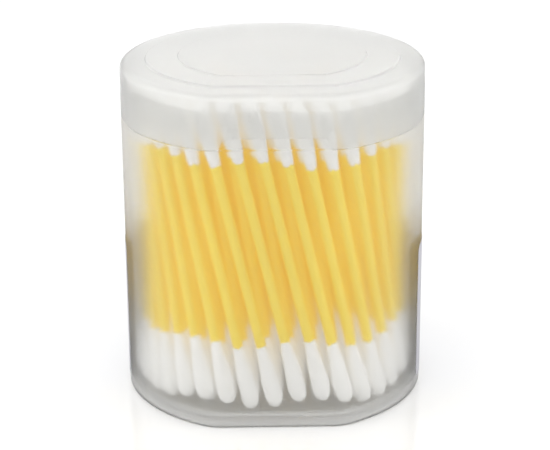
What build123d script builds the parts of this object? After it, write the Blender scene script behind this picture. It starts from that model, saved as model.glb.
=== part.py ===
"""Cotton swab tub: a frosted tub with a flat front, a lift-off lid and a twisted bundle of swabs."""

import math
import os

from build123d import *

os.makedirs("parts", exist_ok=True)

# Sizes in millimetres. The tub is a circle in plan with one flat at its front, towards -Y.
outer_radius = 36.0
flat_distance = 32.6        # from the circle's centre to the front flat
corner_radius = 10.0        # where the flat runs into the round wall
shoulder_height = 68.0      # where the lid's edge sits
draft = 0.35                # the tub is this much narrower all round at its base
tub_wall = 1.7
floor_thickness = 1.2
foot_recess = 1.2           # the floor stands this far above the table
foot_width = 2.6
base_edge_radius = 1.6
floor_fillet = 1.2

# The lid slides over a thinner neck, and its skirt is flush with the tub's wall.
lid_wall = 0.8
fit_clearance = 0.25
neck_height = 8.5
bead_rise = 0.12
bead_height = 1.2
bead_centre = 5.2           # above the shoulder
lid_skirt = 13.0
lid_top = 1.2
lid_edge_radius = 2.8
panel_inset = 5.9           # the raised panel on the lid's top
panel_rise = 0.6
inner_panel_inset = 13.6
inner_panel_rise = 0.35
pry_width = 24.0            # the gap under the lid's front edge, for a fingernail
pry_height = 2.8
pry_corner_radius = 1.2

# A thin film label runs round the back of the tub.
label_film = 0.12
label_glue = 0.03
label_base = 3.0
label_height = 34.0
label_right_end = 73.0      # degrees round from the middle of the front
label_left_end = 80.0
label_corner_radius = 2.0

# The swabs stand in rings against the wall, each leaning round the ring by the same twist.
swab_length = 76.0
stick_diameter = 2.4
cotton_length = 14.5
cotton_cap = 2.0            # cotton past the stick's end
cotton_diameter = 4.6
cotton_belly = 5.6          # from the tip's end to where it starts to thin
cotton_edge = 0.15          # thickness where the cotton runs out on the stick
swab_pitch = 5.3            # least spacing round a ring
ring_pitch = 4.9
wall_gap = 0.3              # between the outer ring and the wall
floor_gap = 0.15
twist = 29.0                # degrees, clockwise from base to top as seen from above
twist_swing = 3.0           # by turns more and less than that, from ring to ring
height_wave = 1.0           # radians from swab to swab, for their uneven standing heights
lid_gap = 0.4               # over the highest swab
base_sway = 0.4             # the rings' uneven spacing, at the base and at the top
top_sway = 0.8

centre_y = (flat_distance - outer_radius) / 2
front_y = centre_y - flat_distance
draft_angle = math.degrees(math.atan(draft / shoulder_height))
floor_top = foot_recess + floor_thickness
neck_inset = lid_wall + fit_clearance
rim_height = shoulder_height + neck_height
lid_rim = shoulder_height + lid_skirt
swab_floor = floor_top + floor_gap
swab_ceiling = lid_rim - lid_top - lid_gap
stick_radius = stick_diameter / 2
tip_radius = cotton_diameter / 2


def wall_inset(height):
    """How far the tapered wall stands inside its widest outline at a height."""
    return draft * (1 - height / shoulder_height)


def outline(inset):
    """The tub's plan drawn in by `inset`: a circle cut by the front flat, with soft corners."""
    with BuildSketch(mode=Mode.PRIVATE) as plan:
        with Locations((0, centre_y)):
            Circle(outer_radius - inset)
        with Locations((0, front_y + inset)):
            square = 2 * outer_radius
            Rectangle(square, square, align=(Align.CENTER, Align.MAX), mode=Mode.SUBTRACT)
        fillet(plan.vertices(), max(corner_radius - inset, 0.5))
    return plan.sketch


def write(solid, name):
    """Label a finished piece and write its STEP file."""
    solid.label = name
    export_step(solid, f"parts/{name}.step")


# Tub: one moulding with a raised floor, a foot rim, a shoulder, a thin neck and a snap bead.
with BuildPart() as tub:
    with BuildSketch(Plane.XY):
        add(outline(draft))
    extrude(amount=shoulder_height, taper=-draft_angle)
    fillet(tub.faces().sort_by(Axis.Z)[0].edges(), base_edge_radius)
    with BuildSketch(Plane.XY.offset(shoulder_height)):
        add(outline(neck_inset))
    extrude(amount=neck_height)
    with BuildSketch(Plane.XY.offset(shoulder_height + bead_centre - bead_height / 2)):
        add(outline(neck_inset - bead_rise))
    extrude(amount=bead_height)
    with BuildSketch(Plane.XY.offset(floor_top)):
        add(outline(tub_wall + wall_inset(floor_top)))
    extrude(amount=rim_height - floor_top, taper=-draft_angle, mode=Mode.SUBTRACT)
    floor_face = tub.faces().filter_by(Plane.XY).group_by(Axis.Z)[1].sort_by(SortBy.AREA)[-1]
    fillet(floor_face.edges(), floor_fillet)
    with BuildSketch(Plane.XY):
        add(outline(draft + foot_width))
    extrude(amount=foot_recess, mode=Mode.SUBTRACT)
write(tub.part, "tub")

# Lid: a shallow cap with a rounded edge, two raised steps on top and a pry gap at the front.
with BuildPart() as lid:
    with BuildSketch(Plane.XY.offset(shoulder_height)):
        add(outline(0))
    extrude(amount=lid_skirt, taper=draft_angle)
    fillet(lid.faces().sort_by(Axis.Z)[-1].edges(), lid_edge_radius)
    for inset, rise in ((panel_inset, panel_rise), (inner_panel_inset, panel_rise + inner_panel_rise)):
        with BuildSketch(Plane.XY.offset(lid_rim)):
            add(outline(inset))
        extrude(amount=rise)
    for step in lid.faces().filter_by(Plane.XY).sort_by(Axis.Z)[-2:]:
        fillet(step.outer_wire().edges(), inner_panel_rise / 2)
    with BuildSketch(Plane.XY.offset(shoulder_height)):
        add(outline(lid_wall))
    hollow = extrude(amount=lid_skirt - lid_top, taper=draft_angle, mode=Mode.PRIVATE)
    hollow = hollow.fillet(lid_edge_radius - lid_wall, hollow.faces().sort_by(Axis.Z)[-1].edges())
    add(hollow, mode=Mode.SUBTRACT)
    pry_plane = Plane((0, front_y, shoulder_height), x_dir=(1, 0, 0), z_dir=(0, -1, 0))
    with BuildSketch(pry_plane):
        RectangleRounded(pry_width, 2 * pry_height, pry_corner_radius)
    extrude(amount=2 * lid_wall, both=True, mode=Mode.SUBTRACT)
write(lid.part, "lid")

# Label: one film stuck round the back, following the wall's taper, with rounded corners.
label_inset = wall_inset(label_base) - label_glue
with BuildPart() as label:
    with BuildSketch(Plane.XY.offset(label_base)):
        add(outline(label_inset - label_film))
    extrude(amount=label_height, taper=-draft_angle)
    with BuildSketch(Plane.XY.offset(label_base)):
        add(outline(label_inset))
    extrude(amount=label_height, taper=-draft_angle, mode=Mode.SUBTRACT)
    far = 3 * outer_radius
    right_turn = math.radians(label_right_end)
    left_turn = math.radians(label_left_end)
    with BuildSketch(Plane.XY.offset(label_base)):
        with BuildLine():
            Polyline(
                (0, centre_y),
                (far * math.sin(right_turn), centre_y - far * math.cos(right_turn)),
                (0, centre_y - far),
                (-far * math.sin(left_turn), centre_y - far * math.cos(left_turn)),
                close=True,
            )
        make_face()
    extrude(amount=label_height, mode=Mode.SUBTRACT)
    corners = label.edges().filter_by(lambda edge: edge.length < 2 * label_film)
    fillet(corners, label_corner_radius)
write(label.part, "label")


def ring_point(radius, flat, middle_y, share):
    """Point on a ring at a share of its length, counted from the middle of its front.

    The ring is a circle of `radius` about (0, middle_y), cut straight across at `flat` in front.
    """
    half_chord = math.sqrt(radius**2 - flat**2)
    start_turn = math.acos(flat / radius)
    arc_length = radius * (2 * math.pi - 2 * start_turn)
    along = (share % 1) * (2 * half_chord + arc_length)
    if along < half_chord:
        return along, middle_y - flat
    if along > half_chord + arc_length:
        return along - 2 * half_chord - arc_length, middle_y - flat
    turn = start_turn + (along - half_chord) / radius
    return radius * math.sin(turn), middle_y - radius * math.cos(turn)


def ring_length(radius, flat):
    """Length of a ring: its round stretch and its straight front."""
    round_turn = 2 * math.pi - 2 * math.acos(flat / radius)
    return radius * round_turn + 2 * math.sqrt(radius**2 - flat**2)


def swab_planes(radius, flat, middle_y, ring_twist):
    """The base and top planes of a ring's swabs, each with its Z axis along the swab, inwards.

    Each swab stands a little off the floor, by its own share of its room under the lid.
    """
    length = ring_length(radius, flat)
    count = max(int(length / swab_pitch), 1)
    planes = []
    for i in range(count):
        share = i / count
        base_share = share + base_sway / outer_radius / 6 * math.sin(6 * math.pi * share)
        top_share = share - ring_twist / 360 + top_sway / outer_radius / 6 * math.sin(4 * math.pi * share)
        base_x, base_y = ring_point(radius, flat, middle_y, base_share)
        top_x, top_y = ring_point(radius, flat, middle_y, top_share)
        rise = math.sqrt(swab_length**2 - (top_x - base_x) ** 2 - (top_y - base_y) ** 2)
        lift = (swab_ceiling - swab_floor - rise) / 2 * (1 + math.sin(height_wave * i + radius))
        base = Vector(base_x, base_y, swab_floor + lift)
        top = Vector(top_x, top_y, base.Z + rise)
        planes.append((Plane(base, z_dir=top - base), Plane(top, z_dir=base - top)))
    return planes


# One cotton tip, standing on its end, with a blind bore for the stick.
with BuildPart() as cotton_tip:
    with BuildSketch(Plane.XZ):
        with BuildLine():
            CenterArc((0, tip_radius), tip_radius, start_angle=270, arc_size=90)
            Line((tip_radius, tip_radius), (tip_radius, cotton_belly))
            Line((tip_radius, cotton_belly), (stick_radius + cotton_edge, cotton_length))
            Polyline(
                (stick_radius + cotton_edge, cotton_length),
                (stick_radius, cotton_length),
                (stick_radius, cotton_cap),
                (0, cotton_cap),
                (0, 0),
            )
        make_face()
    revolve(axis=Axis.Z)

# The four outer rings keep the tub's outline; the inner ones are round and fill what is left.
outer_inset = tub_wall + draft + wall_gap + tip_radius
rings = {}
for index, name in enumerate(("outer_ring", "second_ring", "third_ring", "fourth_ring")):
    inset = outer_inset + index * ring_pitch
    ring_twist = twist + twist_swing * (-1) ** index
    rings[name] = (outer_radius - inset, flat_distance - inset, centre_y, ring_twist)
inner_radius = (rings["fourth_ring"][0] + rings["fourth_ring"][1]) / 2
for index, name in enumerate(("fifth_ring", "sixth_ring", "centre_swab")):
    radius = max(inner_radius - (index + 1) * ring_pitch, 0.01)
    ring_twist = twist + twist_swing * (-1) ** index
    rings[name] = (radius, radius, 0, ring_twist)

for name, ring in rings.items():
    planes = swab_planes(*ring)
    with BuildPart() as sticks:
        with Locations(*[base.offset(cotton_cap) for base, top in planes]):
            stick_length = swab_length - 2 * cotton_cap
            Cylinder(stick_radius, stick_length, align=(Align.CENTER, Align.CENTER, Align.MIN))
    write(sticks.part, f"{name}_sticks")
    with BuildPart() as lower_tips:
        with Locations(*[base for base, top in planes]):
            add(cotton_tip.part)
    write(lower_tips.part, f"{name}_lower_tips")
    with BuildPart() as upper_tips:
        with Locations(*[top for base, top in planes]):
            add(cotton_tip.part)
    write(upper_tips.part, f"{name}_upper_tips")
    print(name, len(planes), "swabs")
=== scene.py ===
import math

import bmesh
import bpy
import numpy as np
from mathutils import Matrix, Vector


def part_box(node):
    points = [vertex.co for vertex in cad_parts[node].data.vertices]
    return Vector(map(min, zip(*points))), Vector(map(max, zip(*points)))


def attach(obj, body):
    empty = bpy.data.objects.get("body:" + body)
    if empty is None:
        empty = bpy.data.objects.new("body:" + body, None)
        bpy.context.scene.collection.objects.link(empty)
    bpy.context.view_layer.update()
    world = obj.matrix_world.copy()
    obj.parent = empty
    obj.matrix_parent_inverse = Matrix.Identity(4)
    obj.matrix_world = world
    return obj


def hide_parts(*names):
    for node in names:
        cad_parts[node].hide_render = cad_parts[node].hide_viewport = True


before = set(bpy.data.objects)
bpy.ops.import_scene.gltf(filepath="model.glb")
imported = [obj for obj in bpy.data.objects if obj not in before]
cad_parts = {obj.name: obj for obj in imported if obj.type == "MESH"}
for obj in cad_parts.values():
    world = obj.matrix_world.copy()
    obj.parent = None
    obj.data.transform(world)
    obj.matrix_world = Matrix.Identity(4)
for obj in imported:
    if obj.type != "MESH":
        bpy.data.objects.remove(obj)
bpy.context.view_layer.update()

mm = 0.001

# ---------------------------------------------------------------------------------------
# Tub: one injection moulding in frosted polypropylene, thin enough to see through. Its plan is
# a circle with one flat at the front. The wall tapers a little to the base, the floor is raised
# on a foot rim, and a thinner neck with a snap bead stands up inside the lid.
# ---------------------------------------------------------------------------------------
lid_low, lid_high = (Vector(corner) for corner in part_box("lid"))
outer_radius = (lid_high.x - lid_low.x) / 2
centre_y = lid_high.y - outer_radius
flat_distance = centre_y - lid_low.y
corner_radius = 10 * mm
shoulder_z = lid_low.z
rim_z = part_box("tub")[1][2]
least_corner_radius = 0.5 * mm
draft = 0.35 * mm
tub_wall = 1.7 * mm
foot_recess = 1.2 * mm
foot_width = 2.6 * mm
floor_z = foot_recess + 1.2 * mm
lid_wall = 0.8 * mm
neck_inset = lid_wall + 0.25 * mm
bead_rise = 0.12 * mm
bead_z = shoulder_z + 5.2 * mm
bead_reach = 0.7 * mm       # from the bead's crest to its foot, up and down
disc_inset = 25 * mm        # the level faces run in to here, and then to one point


def outline(inset, flat_steps=10, corner_steps=12, arc_steps=64):
    """The plan drawn in by `inset`, as x, y arrays that run once round from the front's middle.

    Each point is a centre plus a radius along a direction that turns: a fixed direction along the
    flat, a small circle round the corner, and the tub's own circle round the back. The left half
    mirrors the right.
    """
    big, flat = outer_radius - inset, flat_distance - inset
    small = max(corner_radius - inset, least_corner_radius)
    corner_x = math.sqrt((big - small) ** 2 - (flat - small) ** 2)
    corner_turn = math.atan2(corner_x, flat - small)
    along = np.linspace(0, 1, flat_steps, endpoint=False)
    corner = np.linspace(0, corner_turn, corner_steps, endpoint=False)
    arc = np.linspace(corner_turn, math.pi, arc_steps + 1)
    turn = np.concatenate([0 * along, corner, arc])
    middle_x = np.concatenate([along * corner_x, 0 * corner + corner_x, 0 * arc])
    middle_y = np.concatenate([0 * along - flat + small, 0 * corner - flat + small, 0 * arc])
    radius = np.concatenate([0 * along + small, 0 * corner + small, 0 * arc + big])
    x = middle_x + radius * np.sin(turn)
    y = middle_y - radius * np.cos(turn) + centre_y
    return np.concatenate([x, -x[-2:0:-1]]), np.concatenate([y, y[-2:0:-1]])


def rounded(corners, steps=6):
    """A profile of (inset, height, radius) corners with each corner turned into an arc.

    Each arc is a quadratic blend from one side of the corner to the other, which starts and ends
    at the radius times the tangent of half the turn from the corner.
    """
    places = np.array([corner[:2] for corner in corners])
    radii = [corner[2] for corner in corners[1:]]
    rows = [places[:1]]
    for before, here, after, radius in zip(places, places[1:], places[2:], radii):
        if radius == 0:
            rows.append(here[None])
            continue
        to_before, to_after = before - here, after - here
        reach_in, reach_out = np.linalg.norm(to_before), np.linalg.norm(to_after)
        inner_angle = math.acos(np.clip(to_before @ to_after / reach_in / reach_out, -1, 1))
        reach = min(radius / math.tan(inner_angle / 2), 0.45 * reach_in, 0.45 * reach_out)
        start, end = here + to_before / reach_in * reach, here + to_after / reach_out * reach
        weight = math.sin(inner_angle / 2)
        t = np.linspace(0, 1, steps + 1)[:, None]
        top = (1 - t) ** 2 * start + 2 * weight * t * (1 - t) * here + t**2 * end
        rows.append(top / ((1 - t) ** 2 + 2 * weight * t * (1 - t) + t**2))
    rows.append(places[-1:])
    return np.concatenate(rows)


def moulding(name, profile, lift=None):
    """A closed shell: the plan's outline at each row of the profile, and a pole at each end.

    `lift` takes the outline's x, y and the row's height and gives the row's true height, for an
    edge that isn't level.
    """
    rows = []
    for inset, z in profile:
        x, y = outline(inset)
        rows.append(np.stack([x, y, z + 0 * x if lift is None else lift(x, y, z)], axis=1))
    rows = np.array(rows)
    poles = np.array([[0, 0, profile[0][1]], [0, 0, profile[-1][1]]])
    count, around = rows.shape[:2]
    index = np.arange(count * around).reshape(count, around)
    beside = np.roll(index, -1, axis=1)
    quads = np.stack([index[:-1], beside[:-1], beside[1:], index[1:]], axis=-1).reshape(-1, 4)
    first, last = count * around, count * around + 1
    ends = [(first, b, a) for a, b in zip(index[0], beside[0])]
    ends += [(last, a, b) for a, b in zip(index[-1], beside[-1])]
    mesh = bpy.data.meshes.new(name)
    points = np.concatenate([rows.reshape(-1, 3), poles])
    mesh.from_pydata(points.tolist(), [], quads.tolist() + ends)
    return add_piece(name, mesh)


def add_piece(name, mesh):
    """Put a mesh into the scene as a smooth piece at the origin, with its faces outwards."""
    shell = bmesh.new()
    shell.from_mesh(mesh)
    bmesh.ops.remove_doubles(shell, verts=shell.verts, dist=0.0001 * mm)
    bmesh.ops.recalc_face_normals(shell, faces=shell.faces)
    shell.to_mesh(mesh)
    shell.free()
    mesh.shade_smooth()
    piece = bpy.data.objects.new(name, mesh)
    bpy.context.collection.objects.link(piece)
    return piece


def add_band(piece, material, low, high):
    """Put a second material on the faces that lie wholly between two heights."""
    piece.data.materials.append(material)
    heights = [vertex.co.z for vertex in piece.data.vertices]
    slack = 0.001 * mm
    inside = [low - slack < min(heights[corner] for corner in face.vertices)
              and max(heights[corner] for corner in face.vertices) < high + slack
              for face in piece.data.polygons]
    piece.data.polygons.foreach_set("material_index", np.array(inside, dtype=np.int32))


class Value:
    """A shader socket on which Python's operators add Math nodes."""

    def __init__(self, tree, socket):
        self.tree, self.socket = tree, socket

    def node(self, kind, output=0, settings=None, **inputs):
        """Add a node, set its settings first and then its inputs, and return one output."""
        node = self.tree.nodes.new(kind)
        for key, value in (settings or {}).items():
            setattr(node, key, value)
        for key, value in inputs.items():
            slot = node.inputs[int(key[1:])] if key[1:].isdigit() else node.inputs[key.replace("_", " ")]
            if isinstance(value, Value):
                self.tree.links.new(value.socket, slot)
            else:
                slot.default_value = value
        return Value(self.tree, node.outputs[output])

    def maths(self, operation, a, b=0.0):
        return self.node("ShaderNodeMath", settings={"operation": operation}, i0=a, i1=b)

    def __add__(self, other):
        return self.maths("ADD", self, other)

    def __sub__(self, other):
        return self.maths("SUBTRACT", self, other)

    def __rsub__(self, other):
        return self.maths("SUBTRACT", other, self)

    def __mul__(self, other):
        return self.maths("MULTIPLY", self, other)

    __radd__ = __add__
    __rmul__ = __mul__


def new_material(name, **sockets):
    """A Principled material with constants on its sockets.

    Returns the material, its shader and the object's coordinates.
    """
    material = bpy.data.materials.new(name)
    material.use_nodes = True
    tree = material.node_tree
    shader = tree.nodes["Principled BSDF"]
    for key, value in sockets.items():
        shader.inputs[key.replace("_", " ")].default_value = value
    place = tree.nodes.new("ShaderNodeTexCoord")
    return material, shader, Value(tree, place.outputs["Object"])


def feed(shader, name, value):
    """Link a worked-out value to a shader's socket."""
    value.tree.links.new(value.socket, shader.inputs[name])


def noise(place, size, detail=2.0, roughness=0.5):
    """Noise of a feature size in metres, from 0 to 1."""
    return place.node("ShaderNodeTexNoise", Vector=place, Scale=1 / size, Detail=detail,
                      Roughness=roughness)


def tint(place, mask, low, high):
    """A colour that runs from low to high with the mask."""
    ramp = place.tree.nodes.new("ShaderNodeMix")
    ramp.data_type = "RGBA"
    place.tree.links.new(mask.socket, ramp.inputs[0])
    ramp.inputs[6].default_value = (*low, 1)
    ramp.inputs[7].default_value = (*high, 1)
    return Value(place.tree, ramp.outputs[2])


def bump(shader, place, height, depth):
    """A Bump node of a depth in metres on the shader's Normal."""
    feed(shader, "Normal", place.node("ShaderNodeBump", Strength=1.0, Distance=depth, Height=height))


def frosted(name, haze, roughness):
    """Milky polypropylene: clear enough to see through, with a fine etched grain on its face."""
    material, shader, place = new_material(
        name, Transmission_Weight=1 - haze, IOR=1.12, Specular_IOR_Level=0.5)
    flow = noise(place, 18 * mm)
    grain = noise(place, 0.8 * mm, detail=2)
    feed(shader, "Base Color", tint(place, flow, (0.955, 0.955, 0.945), (0.98, 0.98, 0.972)))
    feed(shader, "Roughness", flow * 0.06 + grain * 0.05 + (roughness - 0.055))
    bump(shader, place, grain, 0.002 * mm)
    return material


base_band = 3.8 * mm    # the floor and foot are thicker than the wall, so they look milkier
band_draft = draft * (1 - base_band / shoulder_z)
tub_profile = rounded([
    (disc_inset, foot_recess, 0),
    (draft + foot_width, foot_recess, 0.3 * mm),
    (draft + foot_width, 0, 0.5 * mm),
    (draft, 0, 1.6 * mm),
    (band_draft, base_band, 0),
    (0, shoulder_z, 0.2 * mm),
    (neck_inset, shoulder_z, 0.2 * mm),
    (neck_inset, bead_z - bead_reach, 0.1 * mm),
    (neck_inset - bead_rise, bead_z, 0.2 * mm),
    (neck_inset, bead_z + bead_reach, 0.1 * mm),
    (neck_inset, rim_z, 0.25 * mm),
    (tub_wall, rim_z, 0.25 * mm),
    (tub_wall + band_draft, base_band, 0),
    (tub_wall + draft, floor_z, 1.2 * mm),
    (disc_inset, floor_z, 0),
])
tub = moulding("tub_wall", tub_profile)
tub.data.materials.append(frosted("tub_polypropylene", haze=0.04, roughness=0.4))
add_band(tub, frosted("tub_base_polypropylene", haze=0.28, roughness=0.3), 0, base_band)
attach(tub, "tub")
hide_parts("tub")

# ---------------------------------------------------------------------------------------
# Lid: a cap of the same frosted polypropylene that pushes over the neck, flush with the wall.
# Its top has two low steps and looks milkier than the skirt, which stops short over the flat and
# leaves a gap for a fingernail.
# ---------------------------------------------------------------------------------------
lid_thickness = 1.2 * mm
lid_edge_radius = 2.8 * mm
panel_inset = 5.9 * mm
panel_rise = 0.6 * mm
inner_panel_inset = 13.6 * mm
inner_panel_rise = 0.35 * mm
step_run = 0.2 * mm         # how far each panel's side leans in
lid_rim_z = lid_high.z - panel_rise - inner_panel_rise
pry_width = 24 * mm
pry_height = 2.8 * mm
pry_side = 1.2 * mm         # the width over which the gap's side rises
pry_fade = 8 * mm           # the skirt is level again this far up
seam = 0.06 * mm            # the hair of air between the skirt's edge and the shoulder
skirt_row_z = shoulder_z + 9 * mm


def pry_gap(x, y, z):
    """Raise the skirt's lower edge over the middle of the flat.

    The rise is a smooth step, t^2 (3 - 2 t), in x at each side of the gap. It is full at the
    skirt's edge and fades to nothing above it.
    """
    across = np.clip((pry_width / 2 + pry_side / 2 - np.abs(x)) / pry_side, 0, 1)
    across = across**2 * (3 - 2 * across) * (y < centre_y)
    fade = np.clip(1 - (z - shoulder_z) / pry_fade, 0, 1)
    return z + pry_height * across * fade


lid_profile = rounded([
    (disc_inset, lid_rim_z - lid_thickness, 0),
    (lid_wall, lid_rim_z - lid_thickness, 2 * mm),
    (lid_wall, skirt_row_z, 0.5 * mm),
    (lid_wall, shoulder_z + seam, 0.15 * mm),
    (0, shoulder_z + seam, 0.15 * mm),
    (0, skirt_row_z, 0.5 * mm),
    (0, lid_rim_z, lid_edge_radius),
    (panel_inset, lid_rim_z, 0.2 * mm),
    (panel_inset + step_run, lid_rim_z + panel_rise, 0.2 * mm),
    (inner_panel_inset, lid_rim_z + panel_rise, 0.15 * mm),
    (inner_panel_inset + step_run, lid_high.z, 0.15 * mm),
    (disc_inset, lid_high.z, 0),
])
lid = moulding("lid_cap", lid_profile, lift=pry_gap)
lid.data.materials.append(frosted("lid_polypropylene", haze=0.09, roughness=0.45))
lid_top_material = frosted("lid_top_polypropylene", haze=0.18, roughness=0.5)
add_band(lid, lid_top_material, lid_rim_z - lid_edge_radius, lid_high.z)
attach(lid, "lid")
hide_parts("lid")

# ---------------------------------------------------------------------------------------
# Label: one thin plastic film stuck round the back of the tub. It is plain, cool grey outside
# and white on its glued side, which shows through the wall.
# ---------------------------------------------------------------------------------------
film, film_shader, film_place = new_material("label_film", Specular_IOR_Level=0.5)
mottle = noise(film_place, 6 * mm, detail=4)
# A face is outside where its normal points away from the tub's middle.
normal = film_place.node("ShaderNodeNewGeometry", output=1)
away = film_place.node("ShaderNodeVectorMath", output=1, settings={"operation": "DOT_PRODUCT"},
                       i0=normal, i1=film_place)
outside = away.maths("GREATER_THAN", away, 0.0)
feed(film_shader, "Base Color",
     tint(film_place, outside * (0.9 + mottle * 0.1), (0.9, 0.9, 0.9), (0.46, 0.46, 0.51)))
feed(film_shader, "Roughness", mottle * 0.12 + 0.3)
bump(film_shader, film_place, noise(film_place, 2.5 * mm), 0.02 * mm)
label = bpy.data.objects["label"]
label.data.materials.clear()
label.data.materials.append(film)

# ---------------------------------------------------------------------------------------
# Sticks: extruded yellow polypropylene rods, one through each swab. They lean round the tub in
# rings, all the same way. A weak glow stands for the light that the rods pass on to each other.
# ---------------------------------------------------------------------------------------
yellow, yellow_shader, yellow_place = new_material(
    "stick_polypropylene", Specular_IOR_Level=0.3,
    Emission_Color=(0.95, 0.67, 0.0, 1), Emission_Strength=0.2)
shade = noise(yellow_place, 5 * mm, detail=1)
feed(yellow_shader, "Base Color", tint(yellow_place, shade, (0.83, 0.66, 0.09), (0.88, 0.71, 0.13)))
feed(yellow_shader, "Roughness", shade * 0.1 + 0.3)
bump(yellow_shader, yellow_place, noise(yellow_place, 0.8 * mm), 0.01 * mm)
ring_names = ["outer_ring", "second_ring", "third_ring", "fourth_ring", "fifth_ring", "sixth_ring",
              "centre_swab"]
for ring in ring_names:
    sticks = bpy.data.objects[ring + "_sticks"]
    sticks.data.materials.clear()
    sticks.data.materials.append(yellow)

# ---------------------------------------------------------------------------------------
# Cotton tips: loose cotton wound on each stick's end into a soft drop, about 15 mm long, that
# thins out along the stick. The outer rings follow the wall, and the inner ones are round.
# ---------------------------------------------------------------------------------------
swab_length = 76 * mm
tip_radius = 2.3 * mm
swab_pitch = 5.3 * mm
ring_pitch = 4.9 * mm
wall_gap = 0.3 * mm
wall_rings = 4              # rings that follow the wall, flat and all
round_rings = 3
centre_radius = 0.01 * mm   # the last ring shrinks to the one swab in the middle
twist = 29                  # degrees
twist_swing = 3             # degrees more or less, ring by ring
base_sway = 0.4 * mm
top_sway = 0.8 * mm
once_round = 6 * outer_radius
swab_floor = floor_z + 0.15 * mm
swab_ceiling = lid_rim_z - lid_thickness - 0.4 * mm


def ring_points(radius, flat, middle_y, share):
    """Points on a ring at shares of its length from its front's middle, as an (n, 2) array.

    The ring is a circle cut straight across at `flat` in front. A share on the cut is a step along
    x, and any other is a turn round the circle.
    """
    half_chord = math.sqrt(max(radius**2 - flat**2, 0))
    start_turn = math.acos(flat / radius)
    arc_length = radius * (2 * math.pi - 2 * start_turn)
    along = (share % 1) * (2 * half_chord + arc_length)
    turn = start_turn + (along - half_chord) / radius
    x = np.select([along < half_chord, along > half_chord + arc_length],
                  [along, along - 2 * half_chord - arc_length], radius * np.sin(turn))
    on_flat = (along < half_chord) | (along > half_chord + arc_length)
    y = np.where(on_flat, middle_y - flat, middle_y - radius * np.cos(turn))
    return np.stack([x, y], axis=1)


def swab_ends(radius, flat, middle_y, ring_twist):
    """The base and top points of a ring's swabs, as two (n, 3) arrays.

    The tops stand a share of the ring back from the bases, which twists the ring. Slow waves
    sway both round the ring, and each swab is lifted by a wave's share of its room under the lid.
    """
    half_chord = math.sqrt(max(radius**2 - flat**2, 0))
    length = radius * (2 * math.pi - 2 * math.acos(flat / radius)) + 2 * half_chord
    count = max(int(length / swab_pitch), 1)
    index = np.arange(count)
    share = index / count
    base_share = share + base_sway / once_round * np.sin(6 * math.pi * share)
    top_share = share - ring_twist / 360 + top_sway / once_round * np.sin(4 * math.pi * share)
    base = ring_points(radius, flat, middle_y, base_share)
    top = ring_points(radius, flat, middle_y, top_share)
    rise = np.sqrt(swab_length**2 - ((top - base) ** 2).sum(axis=1))
    room = swab_ceiling - swab_floor - rise
    height = swab_floor + room / 2 * (1 + np.sin(index + radius / mm))
    return np.column_stack([base, height]), np.column_stack([top, height + rise])


def cotton_tips(name, ends, far_ends, around=14):
    """One cotton drop at each end point, along the swab.

    Each drop is a profile of radii along the swab's axis, carried round it. As on wound cotton,
    three wide lumps and five fine ones climb round it in opposite directions: the radius loses
    0.045 (1 + sin(3 turn + 700 along)) and 0.03 (1 + sin(5 turn - 1300 along)) of itself.
    """
    along = np.array([0, 0.25, 0.8, 1.7, 3.0, 4.6, 6.4, 8.4, 10.4, 12.4, 14.2, 15.6, 15.8]) * mm
    radius = np.array([0, 0.95, 1.62, 2.08, 2.27, 2.3, 2.22, 2.05, 1.86, 1.66, 1.5, 1.34, 1.1]) * mm
    turn = np.linspace(0, 2 * math.pi, around, endpoint=False)
    axis = far_ends - ends
    axis /= np.linalg.norm(axis, axis=1, keepdims=True)
    side = np.cross(axis, [0.0, 1.0, 0.0])
    side /= np.linalg.norm(side, axis=1, keepdims=True)
    other = np.cross(axis, side)
    number = np.arange(len(ends))[:, None, None]
    height = along[None, :, None]
    lumps = 0.045 * (1 + np.sin(3 * turn + 700 * height + 2.1 * number))
    fine_lumps = 0.03 * (1 + np.sin(5 * turn - 1300 * height + 1.3 * number))
    reach = radius[None, :, None] * (1 - lumps - fine_lumps)
    ring = (np.cos(turn)[None, None, :, None] * side[:, None, None, :]
            + np.sin(turn)[None, None, :, None] * other[:, None, None, :])
    points = ends[:, None, None, :] + along[None, :, None, None] * axis[:, None, None, :]
    points = points + reach[..., None] * ring
    swabs, rows = points.shape[:2]
    index = np.arange(swabs * rows * around).reshape(swabs, rows, around)
    beside = np.roll(index, -1, axis=2)
    quads = np.stack([index[:, :-1], beside[:, :-1], beside[:, 1:], index[:, 1:]], axis=-1)
    mesh = bpy.data.meshes.new(name)
    mesh.from_pydata(points.reshape(-1, 3).tolist(), [], quads.reshape(-1, 4).tolist())
    return add_piece(name, mesh)


# A weak white glow on the cotton is painted light: it lifts the shade in the gaps between the tips.
cotton, cotton_shader, cotton_place = new_material(
    "wound_cotton_with_painted_glow", Roughness=0.95, Specular_IOR_Level=0.15, Sheen_Weight=0.3,
    Emission_Color=(1.0, 0.98, 0.94, 1), Emission_Strength=0.15)
fibre = noise(cotton_place, 0.35 * mm, detail=4, roughness=0.7)
puff = noise(cotton_place, 1.6 * mm)
feed(cotton_shader, "Base Color", tint(cotton_place, puff, (0.89, 0.89, 0.88), (0.93, 0.93, 0.92)))
bump(cotton_shader, cotton_place, fibre * 0.6 + puff * 0.4, 0.25 * mm)

outer_inset = tub_wall + draft + wall_gap + tip_radius
rings = []
for step in range(wall_rings):
    inset = outer_inset + step * ring_pitch
    rings.append((outer_radius - inset, flat_distance - inset, centre_y,
                  twist + twist_swing * (-1) ** step))
inner_radius = (rings[-1][0] + rings[-1][1]) / 2
for step in range(round_rings):
    radius = max(inner_radius - (step + 1) * ring_pitch, centre_radius)
    rings.append((radius, radius, 0, twist + twist_swing * (-1) ** step))
for name, ring in zip(ring_names, rings):
    base, top = swab_ends(*ring)
    for level, ends, far_ends in (("lower", base, top), ("upper", top, base)):
        tips = cotton_tips(f"{name}_{level}_cotton", ends, far_ends)
        tips.data.materials.append(cotton)
        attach(tips, "tub")
        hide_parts(f"{name}_{level}_tips")

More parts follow.
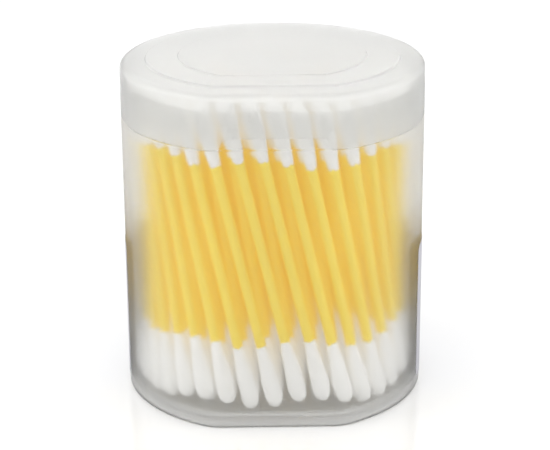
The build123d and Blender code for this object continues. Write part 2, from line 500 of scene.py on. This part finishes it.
# ---------------------------------------------------------------------------------------
# Studio: a glossy white table that runs out to white, a white sky, soft lamps above and at both
# sides, and a long-lens camera.
# ---------------------------------------------------------------------------------------
white, white_shader, white_place = new_material(
    "white_table", Roughness=0.12, Specular_IOR_Level=0.7, Emission_Strength=1.0)
patches = noise(white_place, 30 * mm)
feed(white_shader, "Base Color", tint(white_place, patches, (0.85, 0.85, 0.85), (0.86, 0.86, 0.86)))
camera_ray = white_place.node("ShaderNodeLightPath")
feed(white_shader, "Emission Color", tint(white_place, camera_ray, (0, 0, 0), (0.14, 0.14, 0.14)))
floor_mesh = bpy.data.meshes.new("table_top")
half = 2.0
floor_mesh.from_pydata([(-half, -half, 0), (half, -half, 0), (half, half, 0), (-half, half, 0)],
                       [], [(0, 1, 2, 3)])
table_top = bpy.data.objects.new("table_top", floor_mesh)
bpy.context.collection.objects.link(table_top)
table_top.data.materials.append(white)

world = bpy.data.worlds.new("studio")
world.use_nodes = True
bpy.context.scene.world = world
sky = world.node_tree.nodes["Background"]
sky.inputs["Color"].default_value = (1, 1, 1, 1)
rays = world.node_tree.nodes.new("ShaderNodeLightPath")
seen = Value(world.node_tree, rays.outputs["Is Camera Ray"])
world.node_tree.links.new((seen * 0.07 + 0.93).socket, sky.inputs["Strength"])


def lamp(name, place, aim, size, power):
    """A square area lamp at a place, turned to face a point."""
    light = bpy.data.lights.new(name, "AREA")
    light.size, light.energy = size, power
    holder = bpy.data.objects.new(name, light)
    holder.location = place
    holder.rotation_euler = (Vector(aim) - Vector(place)).to_track_quat("-Z", "Y").to_euler()
    bpy.context.collection.objects.link(holder)


lamp("top_softbox", (-0.1, -0.15, 0.8), (0, 0, 0.04), 0.6, 1.1)
lamp("left_softbox", (-0.7, -0.15, 0.35), (0, 0, 0.04), 0.5, 1.0)
lamp("right_softbox", (0.7, -0.15, 0.35), (0, 0, 0.04), 0.5, 1.0)

# The camera stands at a long lens's distance, a little above the lid, and looks slightly down.
camera_distance = 14 * outer_radius
camera_pitch = 0.3355
look_height = 1.0876 * outer_radius
side_shift = -0.0102 * outer_radius
camera_turn = 0.0163
camera_roll = -0.0066
across = Vector((1, 0, 0))
forward = Vector((0, math.cos(camera_pitch), -math.sin(camera_pitch)))
upward = Vector((0, math.sin(camera_pitch), math.cos(camera_pitch)))
rolled_across = across * math.cos(camera_roll) + upward * math.sin(camera_roll)
rolled_up = upward * math.cos(camera_roll) - across * math.sin(camera_roll)
place = Vector((-side_shift, 0, look_height)) - forward * camera_distance
pose = Matrix((rolled_across, rolled_up, -forward)).transposed().to_4x4()
pose.translation = place
stand = Matrix.Translation((0, centre_y, 0)) @ Matrix.Rotation(-camera_turn, 4, "Z")
camera = bpy.data.objects.new("camera", bpy.data.cameras.new("camera"))
camera.data.lens = 136.1
camera.data.sensor_width = 36
camera.data.clip_start = 0.01
camera.matrix_world = stand @ pose
bpy.context.collection.objects.link(camera)
bpy.context.scene.camera = camera
bpy.context.scene.view_settings.view_transform = "Standard"
